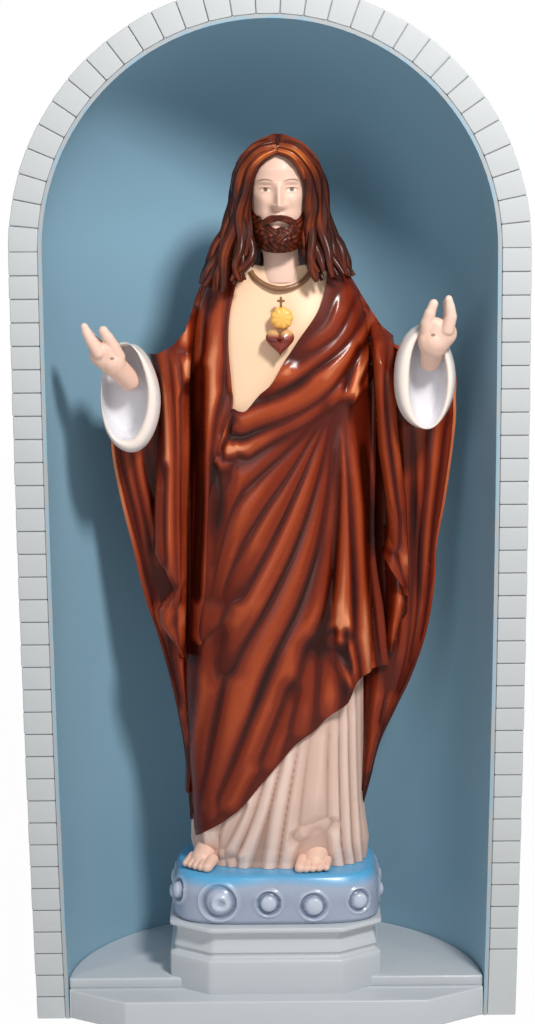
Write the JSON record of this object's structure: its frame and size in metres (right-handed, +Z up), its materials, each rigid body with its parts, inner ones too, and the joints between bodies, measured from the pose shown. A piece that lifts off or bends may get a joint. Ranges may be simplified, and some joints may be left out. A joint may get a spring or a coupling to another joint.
{
  "type": "garden grotto",
  "caption": "Free-standing round-headed garden niche with a blue alcove and course-patterned grey surround, holding a robed statue on a cloud block and stepped pedestal.",
  "frame": {"origin": "on the ground, in the middle of the surround's front face, on the step's flat underside", "axes": "+X to the viewer's right, +Y into the niche, +Z up"},
  "size_m": [0.784, 0.404, 1.596],
  "materials": {
    "surround_paint": "moulded fibreglass, satin grey paint over a course pattern",
    "alcove_paint": "moulded fibreglass, satin blue paint, slightly uneven",
    "floor_paint": "moulded fibreglass, semi-gloss pale grey paint",
    "cloud_paint": "gloss paint, lilac grey shaded to bright blue on top",
    "robe_paint": "gloss cream paint with a pink tint in the folds",
    "chest_paint": "gloss peach paint",
    "mantle_paint": "gloss red-brown paint, darker in the folds and rubbed on the ridges",
    "cuff_paint": "gloss white paint with a pink tint",
    "skin_paint": "satin skin-tone paint",
    "hair_paint": "gloss dark brown paint with copper highlights",
    "band_paint": "brown-gold paint",
    "heart_paint": "gloss red-brown paint",
    "flame_paint": "yellow paint"
  },
  "bodies": {
    "root": {"left_jamb": "surround_paint", "right_jamb": "surround_paint", "arch_left_haunch": "surround_paint", "arch_left_crown": "surround_paint", "arch_right_crown": "surround_paint", "arch_right_haunch": "surround_paint", "alcove_wall_left": "alcove_paint", "alcove_wall_back_left": "alcove_paint", "alcove_wall_back_right": "alcove_paint", "alcove_wall_right": "alcove_paint", "half_dome_left": "alcove_paint", "half_dome_back_left": "alcove_paint", "half_dome_back_right": "alcove_paint", "half_dome_right": "alcove_paint", "floor_block": "floor_paint", "shelf_left": "floor_paint", "shelf_right": "floor_paint", "front_step": "floor_paint", "pedestal_plinth": "floor_paint", "pedestal_die": "floor_paint", "pedestal_cap": "floor_paint", "cloud_block": "cloud_paint", "under_robe": "robe_paint", "chest": "chest_paint", "mantle_front": "mantle_paint", "mantle_back": "mantle_paint", "left_sleeve": "mantle_paint", "right_sleeve": "mantle_paint", "mantle_left_fall": "mantle_paint", "mantle_right_fall": "mantle_paint", "waist_sash": "mantle_paint", "left_cuff": "cuff_paint", "right_cuff": "cuff_paint", "left_hand": "skin_paint", "right_hand": "skin_paint", "left_foot": "skin_paint", "right_foot": "skin_paint", "head": "skin_paint", "hair": "hair_paint", "beard": "hair_paint", "neckline_band": "band_paint", "heart": "heart_paint", "flame": "flame_paint", "cross": "band_paint"}
  },
  "joints": []
}
